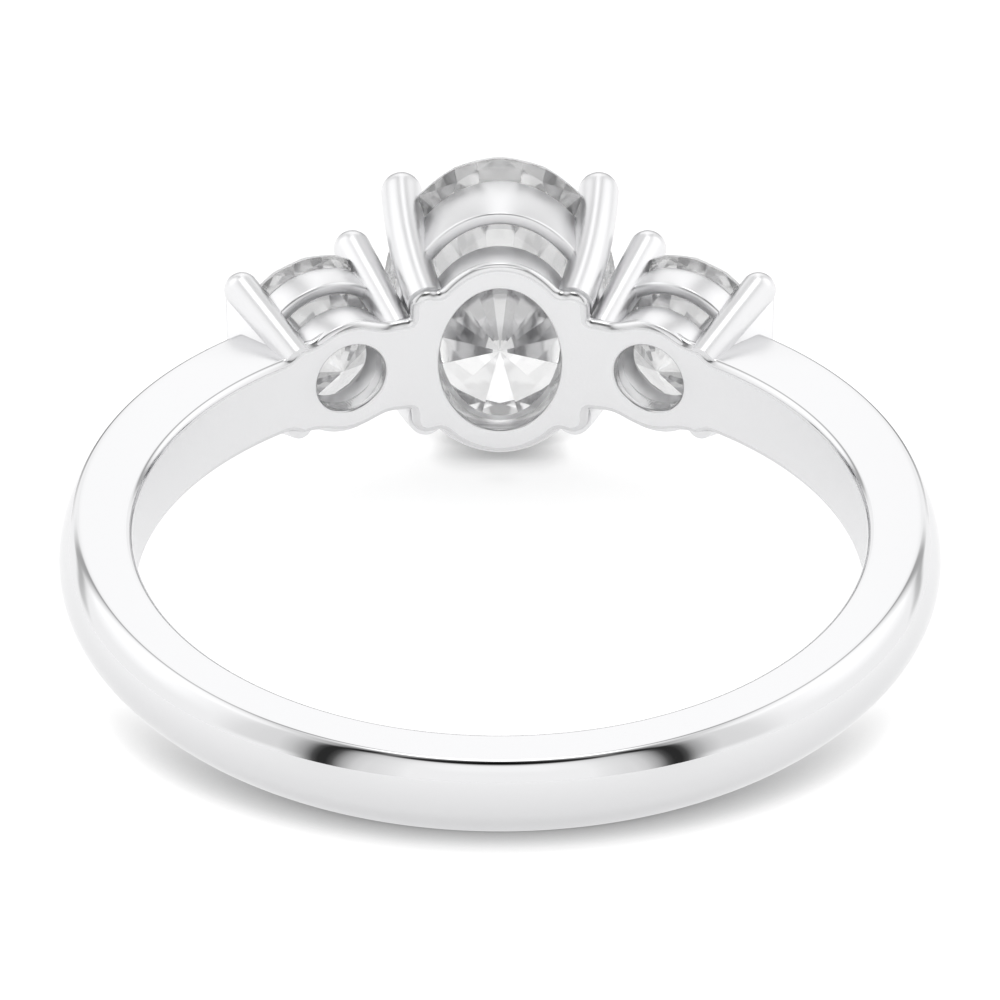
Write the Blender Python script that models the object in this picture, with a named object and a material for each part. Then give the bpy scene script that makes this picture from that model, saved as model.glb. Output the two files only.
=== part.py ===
"""Three stone ring lying on its side: a cast ring mount with three four-prong baskets and its three cut stones.

The ring is drawn upright in its own axes: the finger axis is Z, the head with the stones is at +Y, and the palm
side of the shank is at -Y. An empty then lays it down as the real ring rests, on the shank's palm edge and on the
end of the long centre stone. Heights and thicknesses are measured outwards from the finger hole.
"""

import math

import bmesh
import bpy
from mathutils import Matrix, Vector

MM = 0.001

# Finger hole and shank, from the palm side to the head
BORE_RADIUS = 8.25 * MM
BORE_FILLET = 0.18 * MM
PALM_HALF_WIDTH = 0.937 * MM
HEAD_HALF_WIDTH = 1.007 * MM
PALM_SIDE_THICKNESS = 1.03 * MM
HEAD_SIDE_THICKNESS = 1.77 * MM
PALM_THICKNESS = 1.38 * MM
HEAD_THICKNESS = 1.87 * MM
WIDENING_STARTS = math.radians(50)

# Centre stone, an oval that is long along the finger
CENTER_HALF_WIDTH = 2.85 * MM
CENTER_HALF_LENGTH = 3.85 * MM
CENTER_PAVILION = 2.54 * MM
CENTER_CROWN = 0.84 * MM
CENTER_CULET_ABOVE_FINGER = 0.44 * MM

# Side stones, round
SIDE_STONE_RADIUS = 2.15 * MM
SIDE_PAVILION = 1.84 * MM
SIDE_CROWN = 0.66 * MM
SIDE_CULET_ABOVE_FINGER = 0.36 * MM

# Cut of all three stones, as shares of the stone's own half width
GIRDLE_THICKNESS = 0.10 * MM
TABLE_SHARE = 0.56
STAR_SHARE = 0.80
LOWER_HALF_SHARE = 0.26
FACET_FOLDS = 8

# Centre basket
CENTER_HOLE_HALF_WIDTH = 1.452 * MM
CENTER_HOLE_HALF_LENGTH = 1.98 * MM
CENTER_FOOT_WALL = 0.53 * MM
CENTER_FOOT_END_WALL = 0.67 * MM
CENTER_FOOT_HEIGHT = 0.95 * MM
CENTER_RAIL_GAP = 0.22 * MM
CENTER_RIM_BELOW_GIRDLE = 0.29 * MM

# Side baskets
SIDE_HOLE_RADIUS = 0.892 * MM
SIDE_FOOT_WALL = 0.588 * MM
SIDE_FOOT_HEIGHT = 0.91 * MM
SIDE_RAIL_GAP = 0.35 * MM
SIDE_RIM_BELOW_GIRDLE = 0.18 * MM
SIDE_BASKET_TILT = math.radians(30)
FOOT_GAP = 0.28 * MM

# Both kinds of basket
SEAT_CLEARANCE = 0.06 * MM
RIM_LIP = 0.03 * MM
RAIL_TAPER = 0.07 * MM
RAIL_WALL = 0.32 * MM

# Prongs: each stands on its foot's outline and ends beside the girdle's outline
CENTER_PRONG_FOOT_ANGLE = math.radians(35)
CENTER_PRONG_ANGLE = math.radians(39)
CENTER_PRONG_FOOT_OUT = 0.08 * MM
CENTER_PRONG_TIP_OUT = 0.22 * MM
CENTER_PRONG_RISE = 0.51 * MM
CENTER_PRONG_BULGE = 0.26 * MM
CENTER_PRONG_FOOT_RADIUS = 0.40 * MM
CENTER_PRONG_TIP_RADIUS = 0.49 * MM
SIDE_PRONG_FOOT_ANGLE = math.radians(33)
SIDE_PRONG_ANGLE = math.radians(46)
SIDE_PRONG_FOOT_OUT = 0.12 * MM
OUTER_PRONG_TIP_OUT = 0.07 * MM
OUTER_PRONG_RISE = 0.23 * MM
INNER_PRONG_TIP_OUT = 0.16 * MM
INNER_PRONG_RISE = 0.50 * MM
SIDE_PRONG_FOOT_RADIUS = 0.31 * MM
SIDE_PRONG_TIP_RADIUS = 0.40 * MM

# Walls that join the baskets to the shank and to each other
SHOULDER_REACH = math.radians(5)
SHOULDER_FIN = 0.45 * MM
SHOULDER_BELOW_GIRDLE = 0.35 * MM
BRIDGE_HALF_WIDTH = 1.22 * MM
BRIDGE_THICKNESS = 0.55 * MM

# Facets of the round shapes
BORE_SIDES = 96
SHANK_STEPS = 61
CROWN_STEPS = 8
OVAL_SIDES = 32
PRONG_SIDES = 12
PRONG_STEPS = 5
DOME_RINGS = 3
BRIDGE_STEPS = 3

# What is drawn into the finger hole, for the hole to trim
INTO_BORE = 0.5 * MM


def clear_scene():
    for item in list(bpy.data.objects):
        bpy.data.objects.remove(item, do_unlink=True)


def material(name, color, metallic, roughness, transmission=0.0, ior=1.45):
    made = bpy.data.materials.new(name)
    made.use_nodes = True
    shader = made.node_tree.nodes["Principled BSDF"]
    shader.inputs["Base Color"].default_value = (*color, 1.0)
    shader.inputs["Metallic"].default_value = metallic
    shader.inputs["Roughness"].default_value = roughness
    shader.inputs["Transmission Weight"].default_value = transmission
    shader.inputs["IOR"].default_value = ior
    return made


def add_object(name, builder):
    """A named object from a bmesh, with its faces turned outwards."""
    bmesh.ops.recalc_face_normals(builder, faces=builder.faces)
    mesh = bpy.data.meshes.new(name)
    builder.to_mesh(mesh)
    builder.free()
    made = bpy.data.objects.new(name, mesh)
    bpy.context.collection.objects.link(made)
    return made


def skinned(name, rings):
    """A closed solid through rings of equal length. A ring of one point is a pole, any other end is capped flat."""
    builder = bmesh.new()
    loops = [[builder.verts.new(point) for point in ring] for ring in rings]
    for lower, upper in zip(loops, loops[1:]):
        count = max(len(lower), len(upper))
        for i in range(count):
            j = (i + 1) % count
            corners = [lower[i % len(lower)], lower[j % len(lower)], upper[j % len(upper)], upper[i % len(upper)]]
            builder.faces.new(list(dict.fromkeys(corners)))
    for end in (loops[0], loops[-1]):
        if len(end) > 1:
            builder.faces.new(end)
    return add_object(name, builder)


def combined(first, others, operation):
    """The first object after a Boolean with each of the others, which are then removed.

    The solids are all closed, and the exact solver leaves open edges where the seats cross the rails' inner walls.
    """
    for other in others:
        step = first.modifiers.new(operation, "BOOLEAN")
        step.solver = "MANIFOLD"
        step.operation = operation
        step.object = other
        evaluated = first.evaluated_get(bpy.context.evaluated_depsgraph_get())
        mesh = bpy.data.meshes.new_from_object(evaluated)
        first.modifiers.clear()
        first.data = mesh
        bpy.data.objects.remove(other, do_unlink=True)
    return first


def smooth_step(value, low, high):
    share = min(max((value - low) / (high - low), 0), 1)
    return share * share * (3 - 2 * share)


def full_turn(count, shift=0.0):
    return [2 * math.pi * (i + shift) / count for i in range(count)]


class Basket:
    """One stone and the metal that holds it, in the stone's own axes.

    The root is where the stone's axis meets the finger hole. Out runs from it away from the finger, across runs
    round the ring, and along runs with the finger. A pair of half axes is (across, along).
    """

    def __init__(self, root, tilt, side):
        self.side = side
        self.root = Vector(root)
        self.out = Vector((side * math.sin(tilt), math.cos(tilt), 0))
        self.across = Vector((side * math.cos(tilt), -math.sin(tilt), 0))
        self.along = Vector((0, 0, 1))

    def point(self, across, along, height):
        return self.root + self.across * across + self.along * along + self.out * height

    def oval(self, half_axes, height, shift=0.0):
        turns = full_turn(OVAL_SIDES, shift)
        return [self.point(half_axes[0] * math.cos(t), half_axes[1] * math.sin(t), height) for t in turns]

    def disc(self, name, half_axes, span, rim=None):
        return skinned(name, [self.oval(half_axes, span[0]), self.oval(rim or half_axes, span[1])])

    def hold(self, stone_axes, pavilion, crown, culet_gap):
        """Takes the stone's sizes. Heights count from the finger hole, which the culet stays clear of."""
        self.stone_axes = stone_axes
        self.pavilion = pavilion
        self.crown = crown
        self.girdle = culet_gap + pavilion
        self.girdle_top = self.girdle + GIRDLE_THICKNESS

    def stand(self, hole, foot_walls, foot_height, rail_gap, rim_below_girdle):
        """Takes the rails' sizes. The upper rail's rim lies against the stone's pavilion."""
        self.hole = hole
        self.foot = [half + wall for half, wall in zip(hole, foot_walls)]
        self.foot_height = foot_height
        self.rail_span = (foot_height + rail_gap, self.girdle - rim_below_girdle)
        share = 1 - rim_below_girdle / self.pavilion
        self.rim = [half * share + RIM_LIP for half in self.stone_axes]
        self.rail = [half - RAIL_TAPER for half in self.rim]

    def solids(self):
        lower = self.disc("lower_rail", self.foot, (-INTO_BORE, self.foot_height))
        return [lower, self.disc("upper_rail", self.rail, self.rail_span, self.rim)]

    def cuts(self):
        inside = [half - RAIL_WALL for half in self.rail]
        above_gap = self.rail_span[0] - RAIL_WALL / 4
        return [
            self.disc("hole", self.hole, (-INTO_BORE * 2, self.rail_span[0])),
            self.disc("inside", inside, (above_gap, self.girdle)),
            self.seat(),
        ]

    def seat(self):
        """The room that the stone takes, larger than the stone by the seat clearance all round."""
        wide = [half + SEAT_CLEARANCE for half in self.stone_axes]
        table = [half * TABLE_SHARE + SEAT_CLEARANCE for half in self.stone_axes]
        depth = self.pavilion * wide[0] / self.stone_axes[0] + SEAT_CLEARANCE
        return skinned("seat", [
            [self.point(0, 0, self.girdle - depth)],
            self.oval(wide, self.girdle - SEAT_CLEARANCE, shift=0.5),
            self.oval(wide, self.girdle_top + SEAT_CLEARANCE, shift=0.5),
            self.oval(table, self.girdle_top + self.crown + SEAT_CLEARANCE, shift=0.5),
        ])

    def prong_foot(self, across, along, angle, foot_out):
        return self.point(
            across * (self.foot[0] + foot_out) * math.cos(angle),
            along * (self.foot[1] + foot_out) * math.sin(angle),
            0,
        )

    def prong_tip(self, across, along, angle, tip_out, rise):
        return self.point(
            across * (self.stone_axes[0] + tip_out) * math.cos(angle),
            along * (self.stone_axes[1] + tip_out) * math.sin(angle),
            self.girdle_top + rise,
        )


def center_basket():
    basket = Basket((0, BORE_RADIUS, 0), 0, 1)
    basket.hold((CENTER_HALF_WIDTH, CENTER_HALF_LENGTH), CENTER_PAVILION, CENTER_CROWN, CENTER_CULET_ABOVE_FINGER)
    hole = (CENTER_HOLE_HALF_WIDTH, CENTER_HOLE_HALF_LENGTH)
    walls = (CENTER_FOOT_WALL, CENTER_FOOT_END_WALL)
    basket.stand(hole, walls, CENTER_FOOT_HEIGHT, CENTER_RAIL_GAP, CENTER_RIM_BELOW_GIRDLE)
    return basket


def side_basket(side):
    """A side basket, set beside the centre basket's foot with a small gap and leaning outwards."""
    reach = CENTER_HOLE_HALF_WIDTH + CENTER_FOOT_WALL + FOOT_GAP
    reach += (SIDE_HOLE_RADIUS + SIDE_FOOT_WALL) * math.cos(SIDE_BASKET_TILT)
    angle = math.asin(reach / BORE_RADIUS)
    root = (side * BORE_RADIUS * math.sin(angle), BORE_RADIUS * math.cos(angle), 0)
    basket = Basket(root, SIDE_BASKET_TILT, side)
    basket.hold((SIDE_STONE_RADIUS,) * 2, SIDE_PAVILION, SIDE_CROWN, SIDE_CULET_ABOVE_FINGER)
    hole, walls = (SIDE_HOLE_RADIUS,) * 2, (SIDE_FOOT_WALL,) * 2
    basket.stand(hole, walls, SIDE_FOOT_HEIGHT, SIDE_RAIL_GAP, SIDE_RIM_BELOW_GIRDLE)
    return basket


def shank_end():
    """Angle from the palm at which the shank's own section ends, at the outer prongs' feet."""
    foot = outer_prong_line(side_basket(1), 1)[0]
    return math.pi - math.atan2(foot.x, foot.y)


def shank_ring(angle, end):
    """Points of the shank's section: a plain bore, a fillet, a flat side and a domed outside."""
    widening = smooth_step(abs(angle), WIDENING_STARTS, end)
    thickening = smooth_step(abs(angle), 0, end)
    half_width = PALM_HALF_WIDTH + (HEAD_HALF_WIDTH - PALM_HALF_WIDTH) * widening
    side = BORE_RADIUS + PALM_SIDE_THICKNESS + (HEAD_SIDE_THICKNESS - PALM_SIDE_THICKNESS) * widening
    crown = BORE_RADIUS + PALM_THICKNESS + (HEAD_THICKNESS - PALM_THICKNESS) * thickening
    dome = max(crown - side, BORE_FILLET / 4)
    dome_radius = (half_width ** 2 + dome ** 2) / (2 * dome)
    half_sweep = math.asin(min(half_width / dome_radius, 1))
    fillet_middle = BORE_FILLET * (1 - math.sqrt(0.5))
    upper = [
        (BORE_RADIUS - INTO_BORE, half_width - BORE_FILLET),
        (BORE_RADIUS, half_width - BORE_FILLET),
        (BORE_RADIUS + fillet_middle, half_width - fillet_middle),
        (BORE_RADIUS + BORE_FILLET, half_width),
    ]
    arc = []
    for i in range(CROWN_STEPS + 1):
        sweep = half_sweep * (1 - 2 * i / CROWN_STEPS)
        arc.append((side + dome - dome_radius + dome_radius * math.cos(sweep), dome_radius * math.sin(sweep)))
    lower = [(radius, -height) for radius, height in reversed(upper)]
    return [(radius * math.sin(angle), -radius * math.cos(angle), height) for radius, height in upper + arc + lower]


def shank():
    end = shank_end()
    angles = [end * (2 * i / SHANK_STEPS - 1) for i in range(SHANK_STEPS + 1)]
    return skinned("shank", [shank_ring(angle, end) for angle in angles])


def prong(name, base, bend, tip, radii):
    """A tapered round prong with a domed tip, bent towards a middle point. The finger hole trims its foot."""
    levels = [(base - (bend - base).normalized() * INTO_BORE, radii[0])]
    for i in range(PRONG_STEPS + 1):
        share = i / PRONG_STEPS
        middle = base.lerp(bend, share).lerp(bend.lerp(tip, share), share)
        levels.append((middle, radii[0] + (radii[1] - radii[0]) * share))
    axis = (tip - bend).normalized()
    for i in range(1, DOME_RINGS):
        lift = math.pi / 2 * i / DOME_RINGS
        levels.append((tip + axis * radii[1] * math.sin(lift), radii[1] * math.cos(lift)))
    rings = []
    for i, (middle, radius) in enumerate(levels):
        path = levels[min(i + 1, len(levels) - 1)][0] - levels[max(i - 1, 0)][0]
        first = path.cross(Vector((1, 0, 0))).normalized()
        second = path.cross(first).normalized()
        rings.append([middle + (first * math.cos(t) + second * math.sin(t)) * radius for t in full_turn(PRONG_SIDES)])
    rings.append([tip + axis * radii[1]])
    return skinned(name, rings)


def center_prongs(basket):
    made = []
    radii = (CENTER_PRONG_FOOT_RADIUS, CENTER_PRONG_TIP_RADIUS)
    for across in (-1, 1):
        for along in (-1, 1):
            base = basket.prong_foot(across, along, CENTER_PRONG_FOOT_ANGLE, CENTER_PRONG_FOOT_OUT)
            tip = basket.prong_tip(across, along, CENTER_PRONG_ANGLE, CENTER_PRONG_TIP_OUT, CENTER_PRONG_RISE)
            bend = base.lerp(tip, 0.5) + basket.across * across * CENTER_PRONG_BULGE
            made.append(prong("center_prong", base, bend, tip, radii))
    return made


def outer_prong_line(basket, along):
    foot = basket.prong_foot(1, along, SIDE_PRONG_FOOT_ANGLE, SIDE_PRONG_FOOT_OUT)
    return foot, basket.prong_tip(1, along, SIDE_PRONG_ANGLE, OUTER_PRONG_TIP_OUT, OUTER_PRONG_RISE)


def inner_prong_line(basket, along):
    foot = basket.prong_foot(-1, along, SIDE_PRONG_FOOT_ANGLE, SIDE_PRONG_FOOT_OUT)
    return foot, basket.prong_tip(-1, along, SIDE_PRONG_ANGLE, INNER_PRONG_TIP_OUT, INNER_PRONG_RISE)


def side_prongs(basket):
    made = []
    radii = (SIDE_PRONG_FOOT_RADIUS, SIDE_PRONG_TIP_RADIUS)
    for line in (outer_prong_line, inner_prong_line):
        for along in (-1, 1):
            foot, tip = line(basket, along)
            made.append(prong("side_prong", foot, foot.lerp(tip, 0.5), tip, radii))
    return made


def shoulder_piece(basket, sides, thickness, height):
    """A convex piece from the shank's crown up to the outer prongs, on one side of the ring or across it."""
    builder = bmesh.new()
    start = shank_end()
    for side in sides:
        foot, tip = outer_prong_line(basket, side)
        top = foot.lerp(tip, height)
        corners = [foot, top, top + Vector((basket.side * SIDE_PRONG_TIP_RADIUS, 0, 0))]
        for radius, angle in ((BORE_RADIUS, start), (BORE_RADIUS + HEAD_THICKNESS, start - SHOULDER_REACH)):
            corners.append(Vector((
                basket.side * radius * math.sin(angle),
                -radius * math.cos(angle),
                side * HEAD_HALF_WIDTH,
            )))
        for corner in corners:
            builder.verts.new(corner)
            if thickness:
                builder.verts.new(corner - Vector((0, 0, side * thickness)))
    bmesh.ops.convex_hull(builder, input=builder.verts)
    return add_object("shoulder", builder)


def shoulders(basket):
    """The wall that closes a side basket's end, up to the prongs' domes and lower between them."""
    return [
        shoulder_piece(basket, (-1,), SHOULDER_FIN, 1),
        shoulder_piece(basket, (1,), SHOULDER_FIN, 1),
        shoulder_piece(basket, (-1, 1), 0, (basket.girdle - SHOULDER_BELOW_GIRDLE) / basket.girdle_top),
    ]


def bridge(center, basket):
    """The strip against the finger that joins the centre basket's foot to a side basket's foot."""
    start = math.asin((center.foot[0] - CENTER_FOOT_WALL / 2) / BORE_RADIUS)
    near_edge = basket.point(-basket.foot[0] + SIDE_FOOT_WALL / 2, 0, 0)
    end = math.atan2(abs(near_edge.x), near_edge.y)
    section = [
        (BORE_RADIUS - INTO_BORE, -BRIDGE_HALF_WIDTH),
        (BORE_RADIUS + BRIDGE_THICKNESS, -BRIDGE_HALF_WIDTH),
        (BORE_RADIUS + BRIDGE_THICKNESS, BRIDGE_HALF_WIDTH),
        (BORE_RADIUS - INTO_BORE, BRIDGE_HALF_WIDTH),
    ]
    rings = []
    for i in range(BRIDGE_STEPS + 1):
        angle = start + (end - start) * i / BRIDGE_STEPS
        rings.append([
            (basket.side * radius * math.sin(angle), radius * math.cos(angle), height) for radius, height in section
        ])
    return skinned("bridge", rings)


def finger_hole():
    reach = CENTER_HALF_LENGTH * 2
    return skinned("finger_hole", [
        [(BORE_RADIUS * math.cos(t), BORE_RADIUS * math.sin(t), height) for t in full_turn(BORE_SIDES, 0.5)]
        for height in (-reach, reach)
    ])


def ring_mount(center, sides):
    """The cast mount: shank, shoulders, bridges, baskets and prongs in one solid, cut for finger, holes and seats."""
    solids = center_prongs(center) + center.solids()
    cuts = [finger_hole()] + center.cuts()
    for basket in sides:
        solids += side_prongs(basket) + basket.solids() + shoulders(basket) + [bridge(center, basket)]
        cuts += basket.cuts()
    mount = combined(shank(), solids, "UNION")
    mount = combined(mount, cuts, "DIFFERENCE")
    mount.name = "ring_mount"
    mount.data.materials.clear()
    mount.data.materials.append(material("polished_white_gold", (0.83, 0.83, 0.84), metallic=1.0, roughness=0.1))
    mount.data.shade_smooth()
    mount.data.set_sharp_from_angle(angle=math.radians(30))
    return mount


def stone(name, basket, diamond):
    """A brilliant cut: table, stars, kites and halves above the girdle, mains and lower halves to a point below."""
    fold = math.pi / FACET_FOLDS
    count = 2 * FACET_FOLDS
    builder = bmesh.new()

    def corners(turns, share, height):
        made = []
        for i in turns:
            across, along = (half * share for half in basket.stone_axes)
            made.append(builder.verts.new(
                basket.point(across * math.cos(fold * i), along * math.sin(fold * i), height)
            ))
        return made

    crown_slope = basket.crown / (1 - TABLE_SHARE)
    star_height = basket.girdle_top + (1 - STAR_SHARE * math.cos(fold)) * crown_slope
    lower_height = basket.girdle - (1 - LOWER_HALF_SHARE * math.cos(fold)) * basket.pavilion
    table = corners(range(0, count, 2), TABLE_SHARE, basket.girdle_top + basket.crown)
    star = corners(range(1, count, 2), STAR_SHARE, star_height)
    above = corners(range(count), 1, basket.girdle_top)
    below = corners(range(count), 1, basket.girdle)
    lower = corners(range(1, count, 2), LOWER_HALF_SHARE, lower_height)
    culet = corners([0], 0, basket.girdle - basket.pavilion)[0]
    builder.faces.new(table)
    for i in range(FACET_FOLDS):
        main, between, after = 2 * i, 2 * i + 1, (2 * i + 2) % count
        builder.faces.new([table[i], table[(i + 1) % FACET_FOLDS], star[i]])
        builder.faces.new([table[i], star[i - 1], above[main], star[i]])
        builder.faces.new([star[i], above[main], above[between]])
        builder.faces.new([star[i], above[between], above[after]])
        builder.faces.new([lower[i], below[main], below[between]])
        builder.faces.new([lower[i], below[between], below[after]])
        builder.faces.new([culet, lower[i - 1], below[main], lower[i]])
    for i in range(count):
        builder.faces.new([above[i - 1], above[i], below[i], below[i - 1]])
    made = add_object(name, builder)
    made.data.materials.append(diamond)
    return made


def lay_down(nodes, center):
    """Leans the ring on the shank's palm edge and the centre stone's end, with its box centred over the origin."""
    frame = bpy.data.objects.new("resting_place", None)
    bpy.context.collection.objects.link(frame)
    drop = CENTER_HALF_LENGTH - PALM_HALF_WIDTH
    tilt = math.atan2(drop, BORE_RADIUS + center.girdle + BORE_RADIUS + PALM_SIDE_THICKNESS)
    turned = Matrix.Rotation(tilt, 4, "X")
    corners = [turned @ vertex.co for node in nodes for vertex in node.data.vertices]
    low, high = (Vector(pick(corner[i] for corner in corners) for i in range(3)) for pick in (min, max))
    frame.matrix_world = Matrix.Translation((-(low.x + high.x) / 2, -(low.y + high.y) / 2, -low.z)) @ turned
    for node in nodes:
        node.parent = frame
    bpy.context.view_layer.update()


def main():
    clear_scene()
    center, left, right = center_basket(), side_basket(-1), side_basket(1)
    nodes = [ring_mount(center, (left, right))]
    diamond = material("cut_diamond", (1.0, 1.0, 1.0), metallic=0.0, roughness=0.0, transmission=1.0, ior=2.42)
    for name, basket in (("center_stone", center), ("left_side_stone", left), ("right_side_stone", right)):
        nodes.append(stone(name, basket, diamond))
    lay_down(nodes, center)


main()
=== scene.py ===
# %% [markdown]
# # A three stone ring, lying on its side
#
# The real ring is cast in white gold, plated with rhodium and polished, and it holds an oval diamond between
# two round ones. It is seen from the palm side, so we look through the finger hole at the back of the head.
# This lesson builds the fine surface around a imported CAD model, which it loads first and never changes.

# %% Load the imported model
from math import asin, atan2, cos, degrees, hypot, pi, radians, sin, sqrt

import bmesh
import bpy
from mathutils import Matrix, Vector
from mathutils.geometry import delaunay_2d_cdt


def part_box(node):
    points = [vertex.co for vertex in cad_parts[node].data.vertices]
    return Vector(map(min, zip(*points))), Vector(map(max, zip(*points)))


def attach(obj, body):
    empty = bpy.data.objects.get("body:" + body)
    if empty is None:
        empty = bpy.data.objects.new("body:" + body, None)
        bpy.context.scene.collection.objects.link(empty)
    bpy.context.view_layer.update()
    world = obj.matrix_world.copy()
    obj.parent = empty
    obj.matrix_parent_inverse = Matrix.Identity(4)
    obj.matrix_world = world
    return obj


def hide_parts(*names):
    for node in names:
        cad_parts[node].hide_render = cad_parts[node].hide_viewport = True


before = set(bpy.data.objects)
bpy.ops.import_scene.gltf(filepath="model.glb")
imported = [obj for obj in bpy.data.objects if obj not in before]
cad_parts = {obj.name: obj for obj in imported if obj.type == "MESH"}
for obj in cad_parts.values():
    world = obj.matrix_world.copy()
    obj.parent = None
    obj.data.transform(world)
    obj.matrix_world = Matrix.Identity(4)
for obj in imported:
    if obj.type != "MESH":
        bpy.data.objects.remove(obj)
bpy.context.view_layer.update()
print("CAD nodes:", ", ".join(sorted(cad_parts)))

# %% [markdown]
# ## Sizes
#
# A jeweller gives a ring's sizes from the finger hole outwards, so these do too. They repeat the CAD model's
# own sizes, because each fine piece has to lie where its solid lies. The ring is drawn upright, with the
# finger along Z, the head at +Y and the palm side at -Y, and it is laid down at the end.

# %% Sizes of the shank and the stones
MM = 0.001
BORE_RADIUS = 8.25 * MM
BORE_FILLET = 0.18 * MM
PALM_HALF_WIDTH = 0.937 * MM
HEAD_HALF_WIDTH = 1.007 * MM
PALM_SIDE_THICKNESS = 1.03 * MM
HEAD_SIDE_THICKNESS = 1.77 * MM
PALM_THICKNESS = 1.38 * MM
HEAD_THICKNESS = 1.87 * MM
WIDENING_STARTS = radians(50)
GIRDLE_THICKNESS = 0.10 * MM
TABLE_SHARE = 0.56
print(f"the finger hole is {2 * BORE_RADIUS / MM:.1f} mm wide")

# %% [markdown]
# ## Baskets
#
# A basket is the open cage that holds one stone: a lower rail against the finger, an upper rail under the
# stone and four prongs. Each is easiest to draw in its stone's own axes, so this class keeps the stone's
# sizes and turns a place across, along and out from the finger hole into a point of the ring.

# %% One basket's own axes and sizes
RAIL_FLARE = 0.07 * MM
RIM_SPARE = 0.03 * MM


class Basket:
    def __init__(self, name, root, tilt, side):
        self.name = name
        self.root = Vector(root)
        self.out = Vector((side * sin(tilt), cos(tilt), 0))
        self.across = Vector((side * cos(tilt), -sin(tilt), 0))

    def point(self, across, along, height):
        return self.root + self.across * across + Vector((0, 0, along)) + self.out * height

    def matrix(self):
        """Turns a mesh drawn with X across, Y along and Z out into the ring's axes."""
        columns = (self.across, Vector((0, 0, 1)), self.out, self.root)
        return Matrix([[column[i] for column in columns] for i in range(3)] + [[0, 0, 0, 1]])

    def local(self, point):
        away = point - self.root
        return away.dot(self.across), away.z

    def hold(self, stone_axes, pavilion, crown, culet_gap):
        self.stone_axes = stone_axes
        self.pavilion = pavilion
        self.crown = crown
        self.girdle = culet_gap + pavilion
        self.girdle_top = self.girdle + GIRDLE_THICKNESS

    def stand(self, hole, foot_walls, foot_height, rail_gap, rim_below_girdle):
        self.hole = hole
        self.foot = [half + wall for half, wall in zip(hole, foot_walls)]
        self.foot_height = foot_height
        self.rail_span = (foot_height + rail_gap, self.girdle - rim_below_girdle)
        share = 1 - rim_below_girdle / self.pavilion
        self.rail = [half * share + RIM_SPARE - RAIL_FLARE for half in self.stone_axes]

    def prong_foot(self, across, along, angle, out):
        """A point outside the lower rail. Across and along are 1 or -1 and pick the quarter."""
        half = [size + out for size in self.foot]
        return self.point(across * half[0] * cos(angle), along * half[1] * sin(angle), 0)

    def prong_tip(self, across, along, angle, out, rise):
        """A point outside the stone's edge and a little above it, in the same quarter."""
        half = [size + out for size in self.stone_axes]
        reach = (across * half[0] * cos(angle), along * half[1] * sin(angle))
        return self.point(*reach, self.girdle_top + rise)


# %% The three baskets
center = Basket("center", (0, BORE_RADIUS, 0), 0, 1)
center.hold(stone_axes=(2.85 * MM, 3.85 * MM), pavilion=2.54 * MM, crown=0.84 * MM, culet_gap=0.44 * MM)
center.stand(
    hole=(1.452 * MM, 1.98 * MM), foot_walls=(0.53 * MM, 0.67 * MM), foot_height=0.95 * MM,
    rail_gap=0.22 * MM, rim_below_girdle=0.29 * MM,
)


def side_basket(name, side):
    """A side basket, set beside the centre basket's foot with a small gap and leaning outwards."""
    tilt = radians(30)
    hole, wall, foot_gap = 0.892 * MM, 0.588 * MM, 0.28 * MM
    angle = asin((center.foot[0] + foot_gap + (hole + wall) * cos(tilt)) / BORE_RADIUS)
    root = (side * BORE_RADIUS * sin(angle), BORE_RADIUS * cos(angle), 0)
    made = Basket(name, root, tilt, side)
    made.hold(stone_axes=(2.15 * MM, 2.15 * MM), pavilion=1.84 * MM, crown=0.66 * MM, culet_gap=0.36 * MM)
    made.stand(
        hole=(hole, hole), foot_walls=(wall, wall), foot_height=0.91 * MM,
        rail_gap=0.35 * MM, rim_below_girdle=0.18 * MM,
    )
    return made


left = side_basket("left", -1)
right = side_basket("right", 1)
baskets = (center, left, right)
print(f"the girdles are {center.girdle / MM:.2f} and {left.girdle / MM:.2f} mm above the finger hole")

# %% [markdown]
# ## Laying the ring down
#
# A ring put on a table rolls until two places hold it: here the palm edge of its shank and the end of the
# long centre stone. One matrix does that turn and shift. It goes into each mesh, so every finished object
# stays at the origin, unturned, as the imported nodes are.

# %% The matrix from the drawing's axes to the resting ring
drop = center.stone_axes[1] - PALM_HALF_WIDTH
lean = atan2(drop, 2 * BORE_RADIUS + center.girdle + PALM_SIDE_THICKNESS)
turn = Matrix.Rotation(lean, 4, "X")
table_edge = turn @ center.point(0, -TABLE_SHARE * center.stone_axes[1], center.girdle_top + center.crown)
stone_end = turn @ center.point(0, -center.stone_axes[1], center.girdle)
stone_low, stone_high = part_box("center_stone")
LAID = Matrix.Translation((0, stone_high.y - table_edge.y, stone_low.z - stone_end.z)) @ turn
print(f"the finger's axis leans {degrees(lean):.2f} degrees from upright")

# %% [markdown]
# ## Finishing a piece
#
# Each piece ends the same way: its mesh gets the laying-down matrix, smooth shading with sharp edges kept,
# and a place on the ring's one body. The metal pieces all stand for the one cast node.


# %% Helpers that finish a piece
def object_from(name, data, *finishes):
    made = bpy.data.objects.new(name, data)
    bpy.context.scene.collection.objects.link(made)
    for finish in finishes:
        data.materials.append(finish)
    return made


def mesh_from(name, builder):
    mesh = bpy.data.meshes.new(name)
    builder.to_mesh(mesh)
    builder.free()
    return mesh


def finished(piece, node="ring_mount", sharp=radians(40), matrix=LAID):
    piece.data.transform(matrix)
    if matrix.determinant() < 0:
        piece.data.flip_normals()
    piece.data.shade_smooth()
    piece.data.set_sharp_from_angle(angle=sharp)
    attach(piece, "root")
    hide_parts(node)
    print(f"{piece.name}: {len(piece.data.polygons)} faces")
    return piece


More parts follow.
